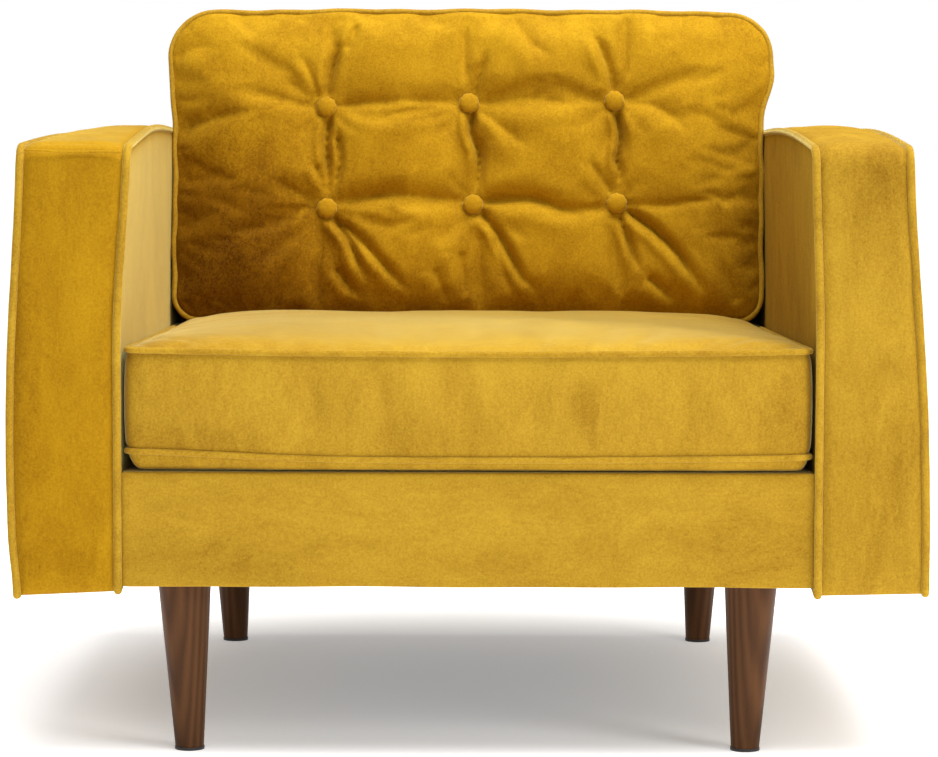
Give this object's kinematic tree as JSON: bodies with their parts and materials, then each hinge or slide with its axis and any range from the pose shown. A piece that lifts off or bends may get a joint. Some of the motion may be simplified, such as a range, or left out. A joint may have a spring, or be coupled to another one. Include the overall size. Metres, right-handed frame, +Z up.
{
  "type": "armchair",
  "caption": "Square-armed upholstered armchair with loose welted seat cushion, button-tufted back cushion and four tapered wooden legs.",
  "frame": {"origin": "on the floor, under the middle of the chair's bounding box", "axes": "+Z up, the chair faces -Y, +X to the right as seen by someone in front of it"},
  "size_m": [0.94, 0.83, 0.7806],
  "materials": {
    "arm_velvet": "mustard velvet",
    "frame_velvet": "mustard velvet",
    "seat_velvet": "mustard velvet",
    "back_velvet": "mustard velvet",
    "welt_velvet": "mustard velvet over cord",
    "button_velvet": "velvet-covered",
    "deck_cloth": "plain platform cloth",
    "dust_cloth": "black non-woven cloth",
    "twine": "waxed nylon twine",
    "webbing": "elastic webbing",
    "foam": "foam and fibre",
    "hardboard": "pressed board",
    "pine": "planed softwood",
    "dowel_wood": "beech",
    "walnut": "dark walnut, satin lacquer",
    "nylon": "moulded nylon",
    "zinc_steel": "zinc plated",
    "black_steel": "black oxide",
    "spring_steel": "oil-tempered wire",
    "zip_tape": "nylon coil zip on woven tape",
    "zip_metal": "die-cast slider"
  },
  "bodies": {
    "chair": {"front_rail": "pine", "back_rail": "pine", "left_side_rail": "pine", "right_side_rail": "pine", "corner_blocks": "pine", "frame_dowels": "dowel_wood", "left_arm_front_post": "pine", "left_arm_rear_post": "pine", "left_arm_brace": "pine", "left_arm_cap_rail": "pine", "left_arm_bottom_rail": "pine", "left_arm_boards": "hardboard", "left_arm_padding": "foam", "left_arm_cover": "arm_velvet", "left_arm_welts": "welt_velvet", "right_arm_front_post": "pine", "right_arm_rear_post": "pine", "right_arm_brace": "pine", "right_arm_cap_rail": "pine", "right_arm_bottom_rail": "pine", "right_arm_boards": "hardboard", "right_arm_padding": "foam", "right_arm_cover": "arm_velvet", "right_arm_welts": "welt_velvet", "arm_bolts": "zinc_steel", "left_back_post": "pine", "right_back_post": "pine", "back_top_rail": "pine", "back_lower_rail": "pine", "back_webbing": "webbing", "back_padding": "foam", "back_cover": "frame_velvet", "seat_springs": "spring_steel", "spring_clips": "zinc_steel", "deck_pad": "foam", "deck_cloth": "deck_cloth", "front_rail_padding": "foam", "front_rail_cover": "frame_velvet", "dust_cover": "dust_cloth", "front_left_leg": "walnut", "front_right_leg": "walnut", "rear_left_leg": "walnut", "rear_right_leg": "walnut", "leg_plates": "zinc_steel", "leg_bolts": "zinc_steel", "plate_screws": "black_steel", "leg_glides": "nylon"},
    "seat_cushion": {"seat_cushion_core": "foam", "seat_cushion_cover": "seat_velvet", "seat_cushion_welts": "welt_velvet", "seat_cushion_zip": "zip_tape"},
    "back_cushion": {"back_cushion_fill": "foam", "back_cushion_cover": "back_velvet", "back_cushion_welts": "welt_velvet", "back_cushion_zip": "zip_tape", "tufting_buttons": "button_velvet", "tufting_twines": "twine"},
    "seat_slider": {"seat_zip_slider": "zip_metal"},
    "back_slider": {"back_zip_slider": "zip_metal"}
  },
  "joints": [
    {"name": "seat_cushion_slide", "type": "slide", "parent": "chair", "child": "seat_cushion", "axis": [0, -0.9997, 0.0262], "range_m": [0, 0.75]},
    {"name": "back_cushion_lift", "type": "slide", "parent": "chair", "child": "back_cushion", "axis": [0, 0.1219, 0.9925], "range_m": [0, 0.42]},
    {"name": "seat_zip_run", "type": "slide", "parent": "seat_cushion", "child": "seat_slider", "axis": [1, 0, 0], "range_m": [0, 0.578]},
    {"name": "back_zip_run", "type": "slide", "parent": "back_cushion", "child": "back_slider", "axis": [-1, 0, 0], "range_m": [0, 0.578]}
  ]
}
